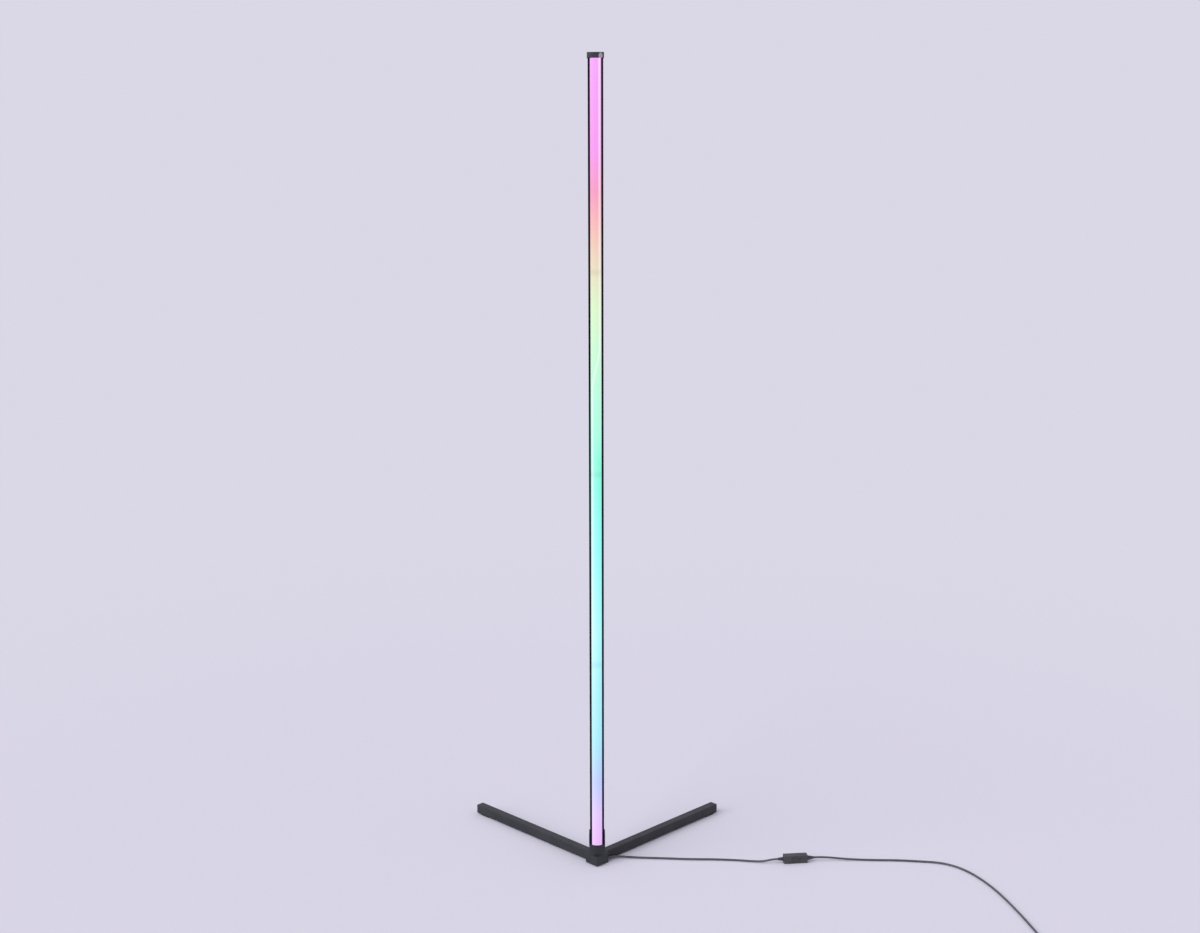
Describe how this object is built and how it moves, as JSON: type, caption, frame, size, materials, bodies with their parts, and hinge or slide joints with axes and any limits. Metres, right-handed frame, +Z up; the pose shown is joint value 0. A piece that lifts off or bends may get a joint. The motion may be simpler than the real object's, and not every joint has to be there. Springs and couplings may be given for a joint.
{
  "type": "corner floor lamp",
  "caption": "Slim upright light post with a convex diffuser on a V-shaped base of square tube, with a lead, in-line push-button control and plug.",
  "frame": {"origin": "on the floor under the axis of the post, at the middle of the front foot's lower face", "axes": "+Z up along the post; the diffuser faces -Y; the two legs run back and outwards at 45 degrees to +Y; +X is to the right seen from the front"},
  "size_m": [0.9564, 0.6504, 1.4],
  "materials": {
    "powder_coat": "satin",
    "anodised_channel": "satin anodised",
    "mill_aluminium": "as extruded",
    "opal_diffuser": "frosted, lit from inside",
    "strip_board": "satin solder mask",
    "led_body": "matt with a clear lens",
    "white_connector": "moulded",
    "black_plastic": "fine spark-eroded texture",
    "foot_rubber": "matt",
    "black_screw": "blackened",
    "lead_sheath": "satin",
    "case_plastic": "fine spark-eroded texture",
    "button_plastic": "smooth satin",
    "circuit_board": "solder mask",
    "component_black": "moulded",
    "plug_steel": "nickel plated",
    "tongue_plastic": "moulded",
    "contact_gold": "gold plated"
  },
  "bodies": {
    "root": {"corner_block": "powder_coat", "block_cover": "black_plastic", "cover_screws": "black_screw", "leg_left": "powder_coat", "leg_right": "powder_coat", "leg_screws": "black_screw", "leg_cap_left": "black_plastic", "leg_cap_right": "black_plastic", "foot_front": "foot_rubber", "foot_left": "foot_rubber", "foot_right": "foot_rubber", "post_socket": "powder_coat", "socket_screws": "black_screw", "tie_bolt": "black_screw", "base_insert": "mill_aluminium", "cord_grommet": "lead_sheath", "lead_wire": "lead_sheath", "lead_plug": "white_connector", "post_section_1": "anodised_channel", "diffuser_1": "opal_diffuser", "led_strip_1": "strip_board", "led_chips_1": "led_body", "post_section_2": "anodised_channel", "diffuser_2": "opal_diffuser", "led_strip_2": "strip_board", "led_chips_2": "led_body", "post_section_3": "anodised_channel", "diffuser_3": "opal_diffuser", "led_strip_3": "strip_board", "led_chips_3": "led_body", "post_section_4": "anodised_channel", "diffuser_4": "opal_diffuser", "led_strip_4": "strip_board", "led_chips_4": "led_body", "joiner_1": "mill_aluminium", "joiner_2": "mill_aluminium", "joiner_3": "mill_aluminium", "strip_plugs": "white_connector", "strip_sockets": "white_connector", "post_screws": "black_screw", "top_cap": "black_plastic", "cord_to_control": "lead_sheath", "cord_to_coil": "lead_sheath", "cord_coil": "lead_sheath", "cord_to_plug": "lead_sheath", "coil_tie": "black_plastic", "control_front": "case_plastic", "control_back": "case_plastic", "control_board": "circuit_board", "control_switch": "component_black", "control_chip": "component_black", "control_screws": "black_screw", "control_relief_lamp": "lead_sheath", "control_relief_supply": "lead_sheath", "plug_grip": "lead_sheath", "plug_shell": "plug_steel", "plug_tongue": "tongue_plastic", "plug_contacts": "contact_gold"},
    "button": {"control_button": "button_plastic", "control_plunger": "button_plastic"}
  },
  "joints": [
    {"name": "button_push", "type": "slide", "parent": "root", "child": "button", "axis": [-0.1045, 0.9945, 0], "range_m": [0, 0.0008], "stiffness_N_per_m": 1500}
  ]
}
